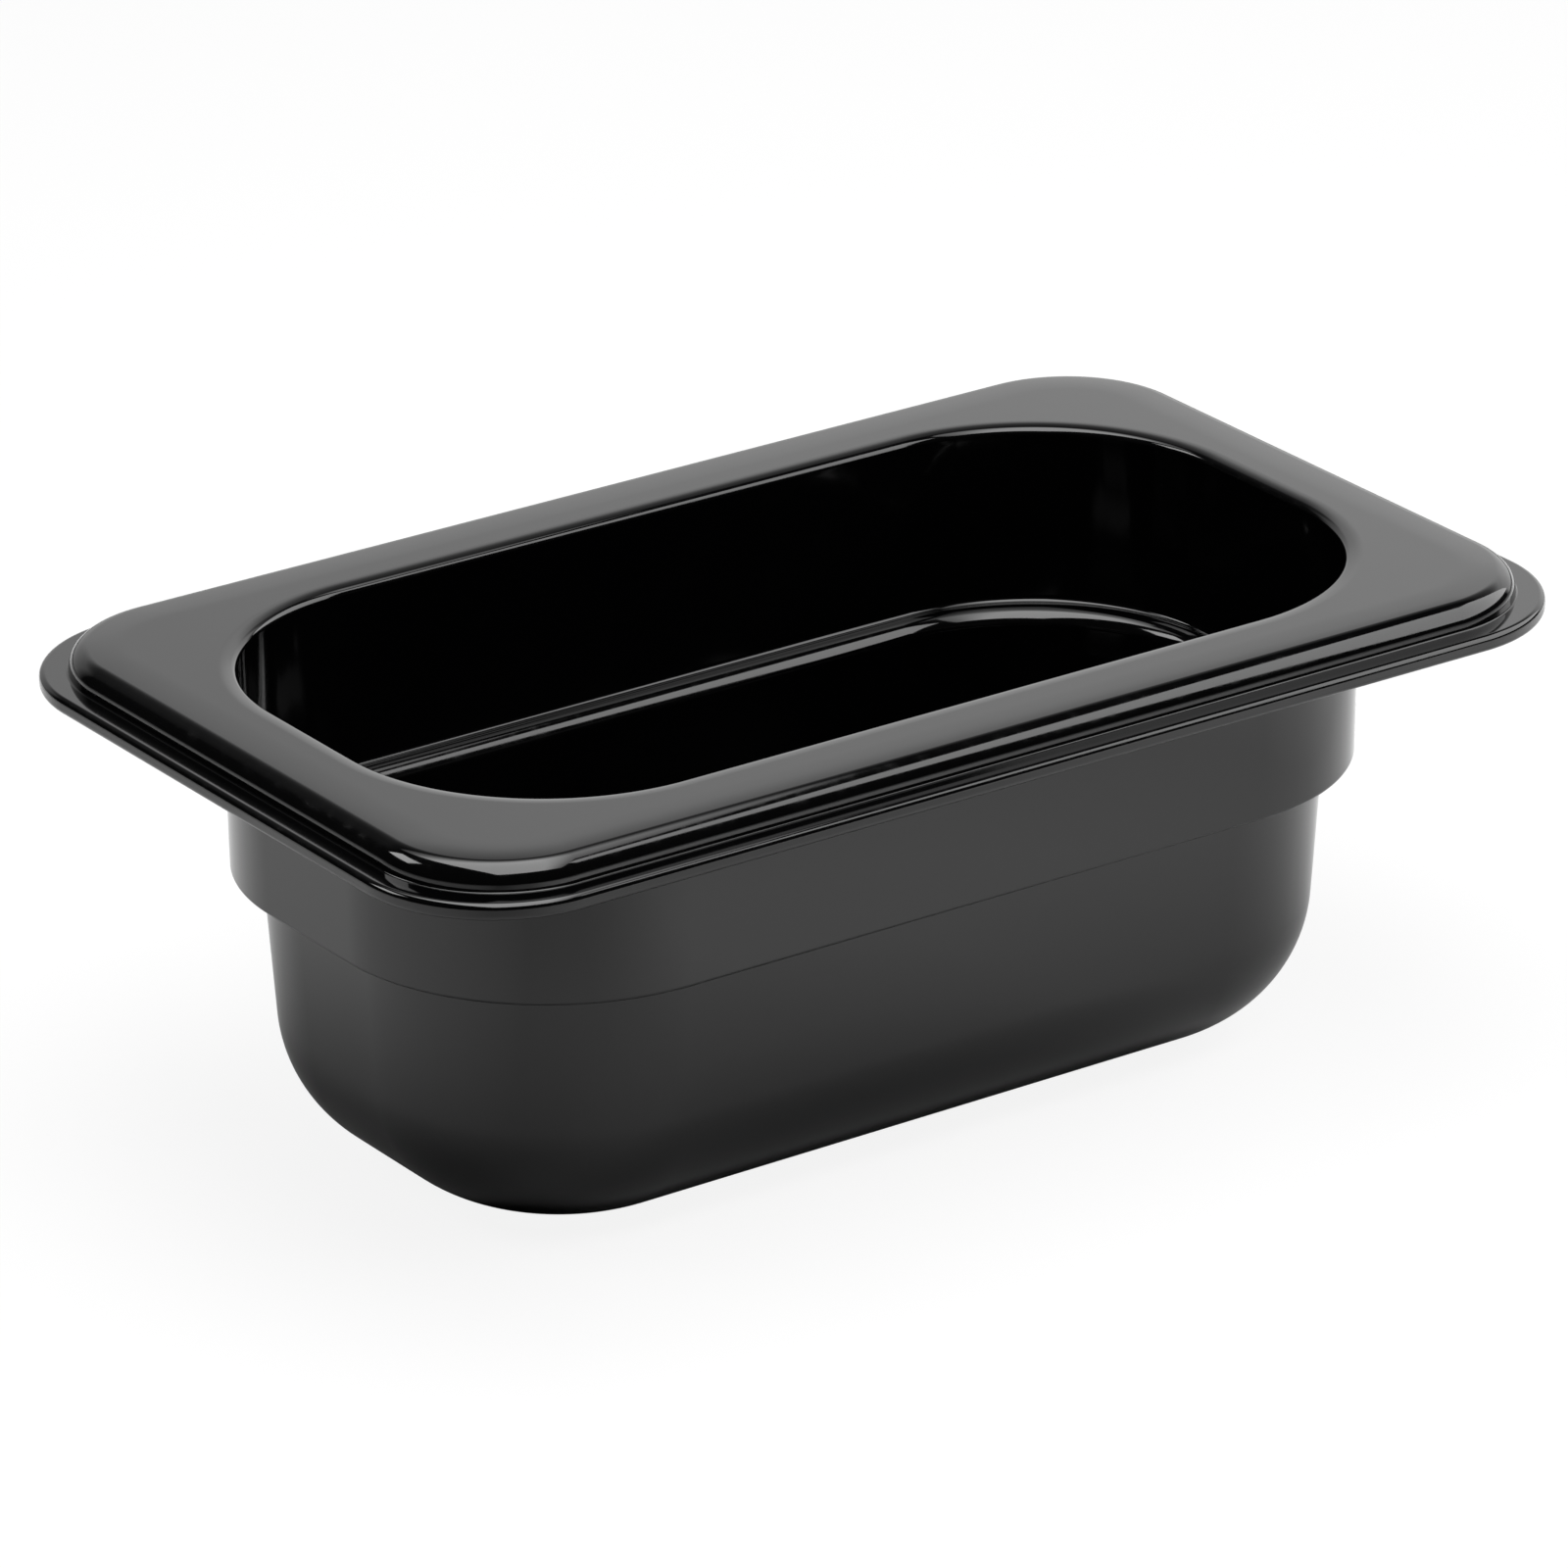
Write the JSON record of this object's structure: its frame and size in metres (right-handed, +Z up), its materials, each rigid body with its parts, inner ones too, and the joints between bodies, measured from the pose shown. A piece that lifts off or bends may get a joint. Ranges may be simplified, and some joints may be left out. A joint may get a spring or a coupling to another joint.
{
  "type": "food pan",
  "caption": "Small rectangular deli food pan, moulded in one piece, with a raised flanged rim, a stacking shoulder and a rounded bottom.",
  "frame": {"origin": "middle of the footprint, on the plane that the pan stands on", "axes": "+X along the pan's length, +Y across its width, +Z up, out of the opening"},
  "size_m": [0.176, 0.108, 0.065],
  "materials": {
    "black_polycarbonate": "gloss moulded polycarbonate"
  },
  "bodies": {
    "root": {"pan": "black_polycarbonate"}
  },
  "joints": []
}
